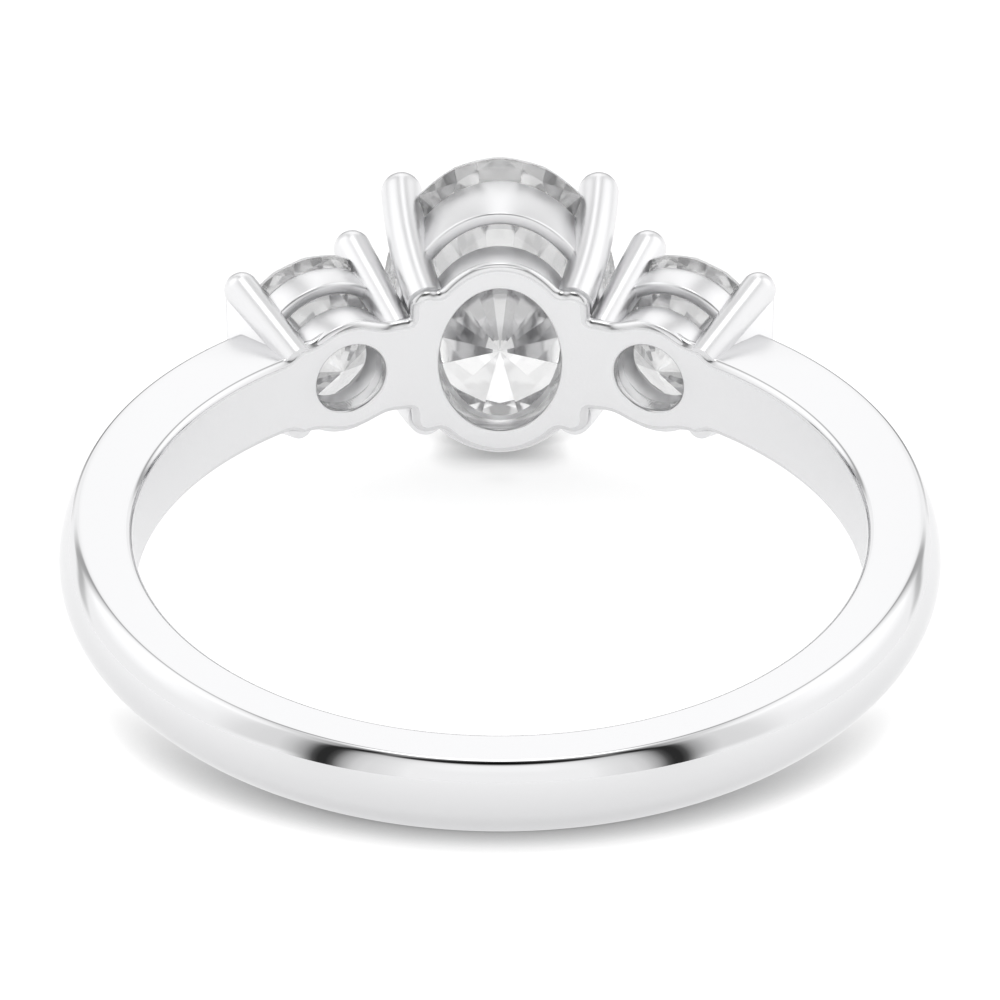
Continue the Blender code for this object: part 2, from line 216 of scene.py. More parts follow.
# %% [markdown]
# ## Nodes
#
# Both shape trees and materials are graphs of nodes. This one function adds a node to either. A setting is a
# property of the node. An input is a value, the output of another node, or a whole node, which then gives
# its first output. Inputs are named, or listed in their order. The kinds that are used most get a short name.

# %% The function that adds a node
MATH = "ShaderNodeMath"
VECTOR_MATH = "ShaderNodeVectorMath"
MAP_RANGE = "ShaderNodeMapRange"
COMBINE = "ShaderNodeCombineXYZ"
SEPARATE = "ShaderNodeSeparateXYZ"
NOISE = "ShaderNodeTexNoise"
MIX = "ShaderNodeMix"
RAMP = "ShaderNodeValToRGB"
PRINCIPLED = "ShaderNodeBsdfPrincipled"
OUTPUT = "ShaderNodeOutputMaterial"


def add(nodes, kind, inputs=(), **settings):
    made = nodes.new(kind)
    for name, value in settings.items():
        setattr(made, name, value)
    pairs = inputs.items() if isinstance(inputs, dict) else enumerate(inputs)
    for key, value in pairs:
        if isinstance(value, bpy.types.Node):
            value = value.outputs[0]
        if isinstance(value, bpy.types.NodeSocket):
            nodes.id_data.links.new(value, made.inputs[key])
        else:
            made.inputs[key].default_value = value
    return made


# %% [markdown]
# ## Colours and finishes
#
# Colours are written as the hex codes that a colour picker shows, and one function turns them to the linear
# values that the renderer works in.


# %% From a hex code to a linear colour
def linear(code):
    parts = [int(code[i:i + 2], 16) / 255 for i in (1, 3, 5)]
    return (*[part / 12.92 if part <= 0.04045 else ((part + 0.055) / 1.055) ** 2.4 for part in parts], 1.0)


def new_material(name):
    made = bpy.data.materials.new(name)
    made.use_nodes = True
    made.node_tree.nodes.clear()
    return made, made.node_tree.nodes


# %% [markdown]
# ## The metal's three finishes
#
# White gold is a little yellow, so a ring is plated with rhodium, a bright neutral metal. The shank was
# polished on a felt wheel and mirrors the room. The wheel doesn't reach into the head, so the prongs, rails
# and shoulders were tumbled in steel shot, which leaves them softer, and the shank's own polish fades close
# to the head. The lining was rubbed with fine abrasive and is satin. One metal with three roughnesses says
# all of that. A faint noise a millimetre across keeps the polish from being perfect.

# %% Rhodium plate, polished: clear dark and light bars, with hardly any blur
# 0.9 spots to a millimetre, so each is a little over a millimetre wide
HAZE_SPOT = MM / 0.9
HAZE = {"Scale": 1 / HAZE_SPOT, "Detail": 3.0}
polished, nodes = new_material("polished_rhodium_plate")
place = add(nodes, "ShaderNodeTexCoord").outputs["Object"]
haze = add(nodes, NOISE, {"Vector": place, **HAZE})
gloss = add(nodes, MAP_RANGE, {"Value": haze, "To Min": 0.02, "To Max": 0.05})
headwards = add(nodes, SEPARATE, {"Vector": place}).outputs["Y"]
unreached = add(nodes, MAP_RANGE, {
    "Value": headwards, "From Min": 4.2 * MM, "From Max": 5.6 * MM, "To Min": 0.0, "To Max": 0.20,
}, interpolation_type="SMOOTHSTEP")
gloss = add(nodes, MATH, [gloss, unreached], operation="ADD")
shader = add(nodes, PRINCIPLED, {"Base Color": linear("#dadadb"), "Metallic": 1.0, "Roughness": gloss})
add(nodes, OUTPUT, {"Surface": shader})
print(polished.name, "has", len(nodes), "nodes")

# %% Rhodium plate, tumbled: the same bars, gone soft
tumbled, nodes = new_material("tumbled_rhodium_plate")
place = add(nodes, "ShaderNodeTexCoord").outputs["Object"]
haze = add(nodes, NOISE, {"Vector": place, **HAZE})
gloss = add(nodes, MAP_RANGE, {"Value": haze, "To Min": 0.28, "To Max": 0.34})
shader = add(nodes, PRINCIPLED, {"Base Color": linear("#e3e3e4"), "Metallic": 1.0, "Roughness": gloss})
add(nodes, OUTPUT, {"Surface": shader})
print(tumbled.name, "has", len(nodes), "nodes")

# %% Rhodium plate, satin: one even pale grey, with a grain that only a close view shows
# The real scratches are a hundredth of a millimetre wide, and this grain is drawn at 0.08 mm so that it shows
GRAIN = MM / 12
GRAIN_DEPTH = 0.02 * MM
satin, nodes = new_material("satin_rhodium_plate")
place = add(nodes, "ShaderNodeTexCoord").outputs["Object"]
grain = add(nodes, NOISE, {"Vector": place, "Scale": 1 / GRAIN, "Detail": 2.0})
bump = add(nodes, "ShaderNodeBump", {"Height": grain, "Strength": 0.25, "Distance": GRAIN_DEPTH})
shader = add(nodes, PRINCIPLED, {
    "Base Color": linear("#e7e7e8"), "Metallic": 1.0, "Roughness": 0.42, "Normal": bump,
})
add(nodes, OUTPUT, {"Surface": shader})
print(satin.name, "has", len(nodes), "nodes")

# %% [markdown]
# ## The stones' two finishes
#
# A diamond bends light so much that most of it turns back inside, and that makes the bright and dark
# wedges. Glass with a diamond's index of refraction does this by itself. The girdle, the narrow edge that
# the prongs grip, is left as the cutter ground it and looks frosted.

# %% Diamond, cut and ground
DIAMOND_IOR = 2.417
stone_finishes = []
for name, code, roughness, clear in (
    # Clear, with a trace of blur that stands for facets too small to cut here
    ("cut_diamond", "#ffffff", 0.05, 1.0),
    # A thin white line round each stone
    ("frosted_diamond_girdle", "#fafafa", 0.45, 0.5),
):
    made, nodes = new_material(name)
    shader = add(nodes, PRINCIPLED, {
        "Base Color": linear(code), "Roughness": roughness, "IOR": DIAMOND_IOR, "Transmission Weight": clear,
    })
    add(nodes, OUTPUT, {"Surface": shader})
    stone_finishes.append(made)
print(f"inside a diamond light turns back past {degrees(asin(1 / DIAMOND_IOR)):.0f} degrees")

# %% [markdown]
# ## Shape trees
#
# A shape that follows a rule is grown by Geometry Nodes. The tree's inputs are the piece's sizes. They are
# set on the modifier by each socket's identifier, and the result is turned into a plain mesh at once.


# %% Starting a shape tree and growing a piece with it
def new_tree(name, sizes):
    tree = bpy.data.node_groups.new(name, "GeometryNodeTree")
    tree.interface.new_socket("Shape", in_out="OUTPUT", socket_type="NodeSocketGeometry")
    for label, kind in {**sizes, "Finish": "Material"}.items():
        tree.interface.new_socket(label, in_out="INPUT", socket_type="NodeSocket" + kind)
    return tree, add(tree.nodes, "NodeGroupInput").outputs


def end_tree(tree, shape, finish):
    """Ends a tree as the export needs it: real geometry with its material set."""
    real = add(tree.nodes, "GeometryNodeRealizeInstances", {"Geometry": shape})
    painted = add(tree.nodes, "GeometryNodeSetMaterial", {"Geometry": real, "Material": finish})
    add(tree.nodes, "NodeGroupOutput", {"Shape": painted})
    print(f"{tree.name}: {len(tree.nodes)} nodes")


def plain_mesh(holder):
    """The mesh that an object's modifiers make."""
    return bpy.data.meshes.new_from_object(holder.evaluated_get(bpy.context.evaluated_depsgraph_get()))


def grown(name, tree, sizes):
    holder = object_from(name, bpy.data.meshes.new(name + "_start"))
    modifier = holder.modifiers.new("shape", "NODES")
    modifier.node_group = tree
    for item in tree.interface.items_tree:
        if item.in_out == "INPUT":
            modifier[item.identifier] = sizes[item.name]
    mesh = plain_mesh(holder)
    bpy.data.objects.remove(holder)
    mesh.name = name
    return object_from(name, mesh)


# %% [markdown]
# ## The shank
#
# The band's section is flat on its two sides and domed outside, and it grows towards the head. A tree sweeps
# one section along an arc and then moves each point outwards by rule, so the whole growth is a few smooth
# curves. It starts above the finger hole's rounded edge, because the satin lining is a piece of its own.

# %% The shank's arc and its section, with X outwards and Y down along the finger
shank_tree, sizes = new_tree("shank_sweep", dict.fromkeys((
    "Bore Radius", "Start Height", "Edge Round", "End Angle", "Widening Starts", "Palm Half Width",
    "Head Half Width", "Palm Side", "Head Side", "Palm Thickness", "Head Thickness", "Step",
), "Float"))
n = shank_tree.nodes
back = add(n, MATH, [sizes["End Angle"], -1.0, -pi / 2], operation="MULTIPLY_ADD")
sweep = add(n, MATH, [sizes["End Angle"], 2.0], operation="MULTIPLY")
arc = add(n, "GeometryNodeCurveArc", {
    "Resolution": 421, "Radius": sizes["Bore Radius"], "Start Angle": back, "Sweep Angle": sweep,
})
low = add(n, MATH, [sizes["Palm Half Width"], -1.0], operation="MULTIPLY").outputs[0]
high = sizes["Palm Half Width"]
corners = [("Start Height", low), ("Palm Side", low), ("Palm Side", high), ("Start Height", high)]
points = {
    f"Point {i + 1}": add(n, COMBINE, {"X": sizes[height], "Y": along})
    for i, (height, along) in enumerate(corners)
}
section = add(n, "GeometryNodeCurvePrimitiveQuadrilateral", points, mode="POINTS")
print("the section has", len(points), "corners")

# %% Rounds on the two outer corners, short steps between all corners, and the sweep
index = add(n, "GeometryNodeInputIndex")
outer = add(n, MATH, [index, 1.5, 0.6], operation="COMPARE")
rounding = add(n, MATH, [outer, sizes["Edge Round"]], operation="MULTIPLY")
rounded = add(n, "GeometryNodeFilletCurve", {"Curve": section, "Count": 6, "Radius": rounding}, mode="POLY")
position = add(n, "GeometryNodeInputPosition")
following = add(n, MATH, [index, 1.0], operation="ADD")
next_place = add(
    n, "GeometryNodeFieldAtIndex", {"Index": following, "Value": position},
    data_type="FLOAT_VECTOR", domain="POINT",
)
stretch = add(n, VECTOR_MATH, [next_place, position], operation="DISTANCE").outputs["Value"]
steps = add(n, MATH, [stretch, sizes["Step"]], operation="DIVIDE")
fine = add(n, "GeometryNodeSubdivideCurve", {"Curve": rounded, "Cuts": steps})
swept = add(n, "GeometryNodeCurveToMesh", {"Curve": arc, "Profile Curve": fine, "Fill Caps": True})
print(len(n), "nodes so far")

# %% Where a point is: its angle from the palm and its height above the finger hole
place = add(n, SEPARATE, [position]).outputs
palmward = add(n, MATH, [place["Y"], -1.0], operation="MULTIPLY")
turned = add(n, MATH, [place["X"], palmward], operation="ARCTAN2")
angle = add(n, MATH, [turned], operation="ABSOLUTE")
flat = add(n, VECTOR_MATH, [position, (1.0, 1.0, 0.0)], operation="MULTIPLY")
reach = add(n, VECTOR_MATH, [flat], operation="LENGTH").outputs["Value"]
outwards = add(n, VECTOR_MATH, [flat], operation="NORMALIZE")
height = add(n, MATH, [reach, sizes["Bore Radius"]], operation="SUBTRACT")
print(len(n), "nodes so far")

# %% How wide and thick the band is at that angle
widening = sizes["Widening Starts"]
half_width, side, crown = (
    add(n, MAP_RANGE, {
        "Value": angle, "From Min": start, "From Max": sizes["End Angle"],
        "To Min": sizes["Palm " + label], "To Max": sizes["Head " + label],
    }, interpolation_type="SMOOTHSTEP")
    for label, start in (("Half Width", widening), ("Side", widening), ("Thickness", 0.0))
)
wider = add(n, MATH, [half_width, sizes["Palm Half Width"]], operation="DIVIDE")
new_z = add(n, MATH, [place["Z"], wider], operation="MULTIPLY")
up_side = {"From Min": sizes["Start Height"], "From Max": sizes["Palm Side"]}
share = add(n, MAP_RANGE, {"Value": height, **up_side})
growth = add(n, MATH, [side, sizes["Palm Side"]], operation="SUBTRACT")
grown_by = add(n, MATH, [share, growth], operation="MULTIPLY")
print(len(n), "nodes so far")

# %% The dome outside, an arc of a circle through the two outer edges
dome = add(n, MATH, [crown, side], operation="SUBTRACT")
dome_square = add(n, MATH, [dome, dome], operation="MULTIPLY")
squares = add(n, MATH, [half_width, half_width, dome_square], operation="MULTIPLY_ADD")
twice = add(n, MATH, [dome, 2.0], operation="MULTIPLY")
ball = add(n, MATH, [squares, twice], operation="DIVIDE")
z_square = add(n, MATH, [new_z, new_z], operation="MULTIPLY")
ball_square = add(n, MATH, [ball, ball], operation="MULTIPLY")
under_root = add(n, MATH, [ball_square, z_square], operation="SUBTRACT")
arc_height = add(n, MATH, [under_root], operation="SQRT")
sunk = add(n, MATH, [ball, dome], operation="SUBTRACT")
lift = add(n, MATH, [arc_height, sunk], operation="SUBTRACT")
under_edge = add(n, MATH, [sizes["Palm Side"], sizes["Edge Round"]], operation="SUBTRACT")
on_top = add(n, MAP_RANGE, {"Value": height, "From Min": under_edge, "From Max": sizes["Palm Side"]})
lifted = add(n, MATH, [lift, on_top, grown_by], operation="MULTIPLY_ADD")
new_reach = add(n, MATH, [reach, lifted], operation="ADD")
new_flat = add(n, VECTOR_MATH, {0: outwards, "Scale": new_reach}, operation="SCALE")
new_lift = add(n, COMBINE, {"Z": new_z})
new_place = add(n, VECTOR_MATH, [new_flat, new_lift], operation="ADD")
shaped = add(n, "GeometryNodeSetPosition", {"Geometry": swept, "Position": new_place})
end_tree(shank_tree, shaped, sizes["Finish"])

# %% [markdown]
# ## Prongs
#
# A prong is a tapered round wire that leans out from the lower rail, bends up beside the stone and ends in a
# polished dome. One tree makes a prong and mirrors it to the four places that share its shape. The dome is a
# quarter circle: the last rings come closer together as they shrink.

# %% A prong's path, and rings that count up the wire and over the dome
prong_tree, sizes = new_tree("mirrored_prongs", {
    "Foot": "Vector", "Bend": "Vector", "Peak": "Vector", "Foot Radius": "Float", "Tip Radius": "Float",
    "Wire Rings": "Int", "Dome Rings": "Int", "Sides": "Int",
})
n = prong_tree.nodes
path = add(n, "GeometryNodeCurveQuadraticBezier", {
    "Resolution": 96, "Start": sizes["Foot"], "Middle": sizes["Bend"], "End": sizes["Peak"],
})
length = add(n, "GeometryNodeCurveLength", [path])
wire_length = add(n, MATH, [length, sizes["Tip Radius"]], operation="SUBTRACT")
rings = add(n, MATH, [sizes["Wire Rings"], sizes["Dome Rings"]], operation="ADD")
count = add(n, MATH, [rings, 1.0], operation="ADD")
line = add(n, "GeometryNodeCurvePrimitiveLine", {"End": (0.0, 0.0, 1.0)})
stops = add(n, "GeometryNodeResampleCurve", {"Curve": line, "Count": count})
index = add(n, "GeometryNodeInputIndex")
on_wire = {"Value": index, "From Max": sizes["Wire Rings"]}
on_dome = {"Value": index, "From Min": sizes["Wire Rings"], "From Max": rings}
up_wire = add(n, MAP_RANGE, {**on_wire, "To Max": wire_length})
thickness = add(n, MAP_RANGE, {**on_wire, "To Min": sizes["Foot Radius"], "To Max": sizes["Tip Radius"]})
turned = add(n, MAP_RANGE, {**on_dome, "To Max": pi / 2})
print(len(n), "nodes so far")

# %% The prong's skin, and its three mirrored copies
sine = add(n, MATH, [turned], operation="SINE")
cosine = add(n, MATH, [turned], operation="COSINE")
stop_at = add(n, MATH, [sine, sizes["Tip Radius"], up_wire], operation="MULTIPLY_ADD")
radius = add(n, MATH, [thickness, cosine], operation="MULTIPLY")
sampled = add(
    n, "GeometryNodeSampleCurve", {"Curves": path, "Length": stop_at}, mode="LENGTH", use_all_curves=True,
).outputs["Position"]
placed = add(n, "GeometryNodeSetPosition", {"Geometry": stops, "Position": sampled})
circle = add(n, "GeometryNodeCurvePrimitiveCircle", {"Resolution": sizes["Sides"], "Radius": 1.0})
skin = add(n, "GeometryNodeCurveToMesh", {
    "Curve": placed, "Profile Curve": circle, "Scale": radius, "Fill Caps": True,
})
shape = add(n, "GeometryNodeMergeByDistance", {"Geometry": skin, "Distance": 0.002 * MM})
for mirror in ((1.0, 1.0, -1.0), (-1.0, 1.0, 1.0)):
    copied = add(n, "GeometryNodeTransform", {"Geometry": shape, "Scale": mirror})
    flipped = add(n, "GeometryNodeFlipFaces", {"Mesh": copied})
    joined = add(n, "GeometryNodeJoinGeometry", {"Geometry": shape})
    prong_tree.links.new(flipped.outputs[0], joined.inputs["Geometry"])
    shape = joined
end_tree(prong_tree, shape, sizes["Finish"])

# %% [markdown]
# ## Rails
#
# A rail is an oval hoop of rectangular wire with softened edges. The tree sweeps the wire's section round an
# ellipse, which keeps the wall the same thickness everywhere, as a bent strip of metal has.

# %% The tree that bends a rail
rail_tree, sizes = new_tree("oval_rail", dict.fromkeys((
    "Half Width", "Half Length", "Wall", "Bottom", "Top", "Flare", "Edge Round",
), "Float"))
n = rail_tree.nodes
ring = add(n, "GeometryNodeCurvePrimitiveCircle", {"Resolution": 160, "Radius": 1.0})
stretched = add(n, COMBINE, {"X": sizes["Half Width"], "Y": sizes["Half Length"], "Z": 1.0})
position = add(n, "GeometryNodeInputPosition")
oval_place = add(n, VECTOR_MATH, [position, stretched], operation="MULTIPLY")
oval = add(n, "GeometryNodeSetPosition", {"Geometry": ring, "Position": oval_place})
top = add(n, MATH, [sizes["Top"], -1.0], operation="MULTIPLY")
bottom = add(n, MATH, [sizes["Bottom"], -1.0], operation="MULTIPLY")
inner_top = add(n, MATH, [sizes["Flare"], sizes["Wall"]], operation="SUBTRACT")
inner_bottom = add(n, MATH, [sizes["Wall"], -1.0], operation="MULTIPLY")
corners = [(inner_top, top), (sizes["Flare"], top), (0.0, bottom), (inner_bottom, bottom)]
points = {f"Point {i + 1}": add(n, COMBINE, {"X": x, "Y": y}) for i, (x, y) in enumerate(corners)}
section = add(n, "GeometryNodeCurvePrimitiveQuadrilateral", points, mode="POINTS")
softened = add(n, "GeometryNodeFilletCurve", {
    "Curve": section, "Count": 5, "Radius": sizes["Edge Round"], "Limit Radius": True,
}, mode="POLY")
bent = add(n, "GeometryNodeCurveToMesh", {"Curve": oval, "Profile Curve": softened})
end_tree(rail_tree, bent, sizes["Finish"])

# %% [markdown]
# ## Prongs in place
#
# The centre prongs bulge outwards on their way up, and the side prongs are straight. On each side basket the
# two prongs beside the centre stone are a little taller than the two at the shoulder.

# %% The three kinds of prong
FOOT_START = 0.08 * MM


def prongs(name, foot, tip, bulge, radii):
    bend = foot.lerp(tip, 0.5) + bulge
    peak = tip + (tip - bend).normalized() * radii[1]
    made = grown(name, prong_tree, {
        "Foot": foot + (bend - foot).normalized() * FOOT_START, "Bend": bend, "Peak": peak,
        "Foot Radius": radii[0], "Tip Radius": radii[1], "Wire Rings": 40, "Dome Rings": 14, "Sides": 40,
        "Finish": tumbled,
    })
    return finished(made)


outer_foot = right.prong_foot(1, 1, angle=radians(33), out=0.12 * MM)
outer_tip = right.prong_tip(1, 1, angle=radians(46), out=0.07 * MM, rise=0.23 * MM)
inner_foot = right.prong_foot(-1, 1, angle=radians(33), out=0.12 * MM)
inner_tip = right.prong_tip(-1, 1, angle=radians(46), out=0.16 * MM, rise=0.50 * MM)
center_foot = center.prong_foot(1, 1, angle=radians(35), out=0.14 * MM)
center_tip = center.prong_tip(1, 1, angle=radians(39), out=0.22 * MM, rise=0.51 * MM)
bulge, straight = center.across * 0.26 * MM, Vector()
prongs("center_prongs", center_foot, center_tip, bulge, radii=(0.46 * MM, 0.50 * MM))
prongs("inner_side_prongs", inner_foot, inner_tip, straight, radii=(0.37 * MM, 0.46 * MM))
prongs("outer_side_prongs", outer_foot, outer_tip, straight, radii=(0.36 * MM, 0.43 * MM))

# %% [markdown]
# ## Rails in place
#
# The lower rail stands straight on the lining. The upper rail flares a little, as the stone's seat does.


# %% The six rails
RAIL_START = 0.04 * MM
UPPER_WALL = 0.32 * MM


def rail(basket, name, outline, wall, span, flare, edge):
    made = grown(f"{basket.name}_{name}", rail_tree, {
        "Half Width": outline[0], "Half Length": outline[1], "Wall": wall, "Bottom": span[0], "Top": span[1],
        "Flare": flare, "Edge Round": edge, "Finish": tumbled,
    })
    return finished(made, matrix=LAID @ basket.matrix())


for basket in baskets:
    foot_wall = basket.foot[0] - basket.hole[0]
    foot_span = (RAIL_START, basket.foot_height)
    rail(basket, "lower_rail", basket.foot, foot_wall, foot_span, flare=0.0, edge=0.07 * MM)
    rail(basket, "upper_rail", basket.rail, UPPER_WALL, basket.rail_span, flare=RAIL_FLARE, edge=0.08 * MM)

# %% [markdown]
# ## The shank in place
#
# The shank ends inside the two outer prongs, so no cut end of it shows. Its surface is divided every few
# hundredths of a millimetre, because a mirror shows any flat spot.

# %% The shank's polished outside
SURFACE_STEP = 0.045 * MM
shank_end = pi - atan2(outer_foot.x, outer_foot.y)
shank = grown("shank", shank_tree, {
    "Bore Radius": BORE_RADIUS, "Start Height": BORE_FILLET, "Edge Round": 0.07 * MM, "End Angle": shank_end,
    "Widening Starts": WIDENING_STARTS, "Palm Half Width": PALM_HALF_WIDTH, "Palm Side": PALM_SIDE_THICKNESS,
    "Palm Thickness": PALM_THICKNESS, "Head Half Width": HEAD_HALF_WIDTH, "Head Side": HEAD_SIDE_THICKNESS,
    "Head Thickness": HEAD_THICKNESS, "Step": SURFACE_STEP, "Finish": polished,
})
finished(shank, sharp=radians(50))

# %% [markdown]
# ## The lining
#
# The surface against the finger is one satin band with a small polished round along its edges. On the shank
# it is plain. On the head its outline runs round the feet of the rails and prongs, as wax does where they
# were melted together, and three holes let light through to the stones. The outline is found as the edge of
# a soft union of the feet, on the finger hole's surface rolled out flat.

# %% Distances to the feet, on the finger hole rolled out flat
PALM_REACH = pi * BORE_RADIUS
HEAD_END = BORE_RADIUS * (pi - shank_end)


def smooth_step(value, low, high):
    """A soft 0 to 1 between two values, as a maker blends one thickness into the next."""
    share = min(max((value - low) / (high - low), 0), 1)
    return share * share * (3 - 2 * share)


def on_bore(reach, along, height=0.0):
    """A point at a reach round the finger hole from the head's middle, and a height above its surface."""
    angle = reach / BORE_RADIUS
    out = BORE_RADIUS + height
    return Vector((out * sin(angle), out * cos(angle), along))


def to_oval(away, half_axes):
    ratio = hypot(away[0] / half_axes[0], away[1] / half_axes[1])
    steepness = hypot(away[0] / half_axes[0] ** 2, away[1] / half_axes[1] ** 2)
    return (ratio - 1) * ratio / max(steepness, 1e-9)


def to_prong(basket, away, foot, radius):
    across, along = basket.local(foot)
    return hypot(away[0] - across, away[1] - abs(along)) - radius


def lining_half_width(reach):
    angle = pi - reach / BORE_RADIUS
    grown_by = smooth_step(angle, WIDENING_STARTS, shank_end)
    return PALM_HALF_WIDTH + (HEAD_HALF_WIDTH - PALM_HALF_WIDTH) * grown_by


print(f"the head ends {HEAD_END / MM:.2f} mm round the finger hole from its middle")

# %% The soft union of the feet
FOOT_BLEND = 0.16 * MM
BRIDGE_HALF_WIDTH = 1.22 * MM
SEARCH_START = 3.3 * MM
SEARCH_STEP = 0.03 * MM
HALVINGS = 12
pad_foot = center.prong_foot(1, 1, angle=radians(35), out=0.08 * MM)


def to_lining(reach, along):
    """How far outside the lining's edge a place is, on the side where both counts are positive."""
    place = on_bore(reach, along)
    in_center, in_right = center.local(place), right.local(place)
    shapes = [
        to_oval(in_center, center.foot),
        to_prong(center, in_center, pad_foot, radius=0.40 * MM),
        to_oval(in_right, right.foot),
        to_prong(right, in_right, inner_foot, radius=0.31 * MM),
        to_prong(right, in_right, outer_foot, radius=0.26 * MM),
        max(along - BRIDGE_HALF_WIDTH, reach - HEAD_END),
        max(along - lining_half_width(reach), HEAD_END - reach),
    ]
    nearest = shapes[0]
    for other in shapes[1:]:
        near = max(FOOT_BLEND - abs(nearest - other), 0) / FOOT_BLEND
        nearest = min(nearest, other) - near * near * FOOT_BLEND / 4
    return nearest


def edge_along(reach):
    """The furthest place along the finger that is still on the lining, by steps and then by halves."""
    along = SEARCH_START
    while to_lining(reach, along) > 0:
        along -= SEARCH_STEP
    inside, outside = along, along + SEARCH_STEP
    for _ in range(HALVINGS):
        middle = (inside + outside) / 2
        if to_lining(reach, middle) > 0:
            outside = middle
        else:
            inside = middle
    return inside


print(f"the lining is {2 * edge_along(0) / MM:.2f} mm wide at the head's middle")

# %% The lining's edge, in even steps
HEAD_SAMPLES = 560
SHANK_SAMPLES = 150
SMOOTHING_PASSES = 3
head_reach = HEAD_END + 0.6 * MM


def evenly(points, step):
    """The same path with its points a step apart."""
    made = [points[0]]
    gone = 0.0
    for start, end in zip(points, points[1:]):
        stretch = (end - start).length
        while gone + stretch >= step:
            start = start.lerp(end, (step - gone) / stretch)
            stretch = (end - start).length
            gone = 0.0
            made.append(start)
        gone += stretch
    return made


reaches = [head_reach * i / HEAD_SAMPLES for i in range(HEAD_SAMPLES + 1)]
head_edge = evenly([Vector((reach, edge_along(reach))) for reach in reaches], SURFACE_STEP)
for _ in range(SMOOTHING_PASSES):
    neighbours = zip(head_edge, head_edge[1:], head_edge[2:])
    smoothed = [(before + 2 * here + after) / 4 for before, here, after in neighbours]
    head_edge = [head_edge[0], *smoothed, head_edge[-1]]
start = head_edge[-1].x
reaches = [start + (PALM_REACH - start) * i / SHANK_SAMPLES for i in range(1, SHANK_SAMPLES + 1)]
half_edge = head_edge + [Vector((reach, lining_half_width(reach))) for reach in reaches]
edge = [Vector((-point.x, point.y)) for point in reversed(half_edge[1:])] + half_edge
print(f"the lining's edge has {len(edge)} points")


# %% Paths beside the edge and round the holes
def moved_in(points, distance):
    """The path moved sideways towards the lining's middle line, with its two ends kept at the palm."""
    made = []
    for i, point in enumerate(points):
        before, after = points[max(i - 1, 0)], points[min(i + 1, len(points) - 1)]
        along = (after - before).normalized()
        made.append(Vector((point.x + along.y * distance, point.y - along.x * distance)))
    made[0].x, made[-1].x = points[0].x, points[-1].x
    return made


def hole_path(basket, grow, sides=96):
    """Where the outline of a basket's hole, grown by a little, meets the finger hole's surface."""
    made = []
    for i in range(sides):
        turn = 2 * pi * i / sides
        start = basket.root + basket.across * ((basket.hole[0] + grow) * cos(turn))
        out = start.dot(basket.out)
        place = start + basket.out * (sqrt(out ** 2 - start.length_squared + BORE_RADIUS ** 2) - out)
        along = (basket.hole[1] + grow) * sin(turn)
        made.append(Vector((BORE_RADIUS * atan2(place.x, place.y), along)))
    return made if basket.across.x > 0 else made[::-1]


# %% The lining's flat layout: its outline, its holes and a grid of points between them
HOLE_ROUND = 0.05 * MM
HOLE_CLEARANCE = 0.15 * MM
HEAD_CLEARANCE = 0.3 * MM
SHANK_CLEARANCE = 0.1 * MM
GRID_STEP = 0.36 * MM
GRID_ROWS = 190
GRID_SIDE = 6
IN_MM = 1000


def is_clear(reach, along):
    """Keeps the grid away from the holes and from the edge, where its triangles would be slivers."""
    place = on_bore(reach, along)
    if any(to_oval(basket.local(place), basket.hole) <= HOLE_CLEARANCE for basket in baskets):
        return False
    if abs(reach) > HEAD_END:
        return abs(along) < PALM_HALF_WIDTH - BORE_FILLET - SHANK_CLEARANCE
    return to_lining(abs(reach), abs(along)) < -HEAD_CLEARANCE


inner_edge = moved_in(edge, BORE_FILLET)
flat = [Vector((point.x, -point.y)) for point in inner_edge] + inner_edge[::-1]
loops = [list(range(len(flat)))]
for basket in baskets:
    hole = hole_path(basket, HOLE_ROUND)
    loops.append(list(range(len(flat), len(flat) + len(hole))))
    flat += hole
for i in range(1, GRID_ROWS):
    reach = PALM_REACH * (2 * i / GRID_ROWS - 1)
    alongs = [GRID_STEP * j for j in range(-GRID_SIDE, GRID_SIDE + 1)]
    flat += [Vector((reach, along)) for along in alongs if is_clear(reach, along)]
solved = delaunay_2d_cdt([point * IN_MM for point in flat], [], loops, 1, 1e-6)
solved_points = [Vector(point) / IN_MM for point in solved[0]]
lining_faces = [face for face, owners in zip(solved[2], solved[5]) if owners == [0]]
print(f"the lining's flat layout has {len(lining_faces)} triangles")

# %% The lining's satin face and its back
BRIDGE_THICKNESS = 0.55 * MM
BACK_ROUND = 0.05 * MM
BACK_RAMP = 0.5 * MM
BACK_SPARE = 0.01 * MM
SATIN = 1


def top_height(reach):
    """Thin under the shank, which covers it, and as thick as the bridges on the head."""
    rise = 1 - smooth_step(abs(reach), HEAD_END - BACK_RAMP, HEAD_END)
    return BORE_FILLET + BACK_ROUND + BACK_SPARE + (BRIDGE_THICKNESS - BORE_FILLET - BACK_ROUND) * rise


builder = bmesh.new()
below = [builder.verts.new(on_bore(*point)) for point in solved_points]
above = [builder.verts.new(on_bore(*point, top_height(point.x))) for point in solved_points]
for face in lining_faces:
    builder.faces.new([below[i] for i in face]).material_index = SATIN
    builder.faces.new([above[i] for i in reversed(face)])
print(f"the lining is {top_height(0) / MM:.2f} mm thick on the head")


# %% The lining's rounded edges
def quarter(count):
    """Sine and cosine of each step of a quarter turn."""
    for k in range(1, count + 1):
        turn = pi / 2 * k / count
        yield sin(turn), cos(turn)


def strips(rows, closed):
    """Joins each row of vertices to the next with squares."""
    count = len(rows[0])
    for first, second in zip(rows, rows[1:]):
        for i in range(count if closed else count - 1):
            j = (i + 1) % count
            builder.faces.new([first[i], first[j], second[j], second[i]])


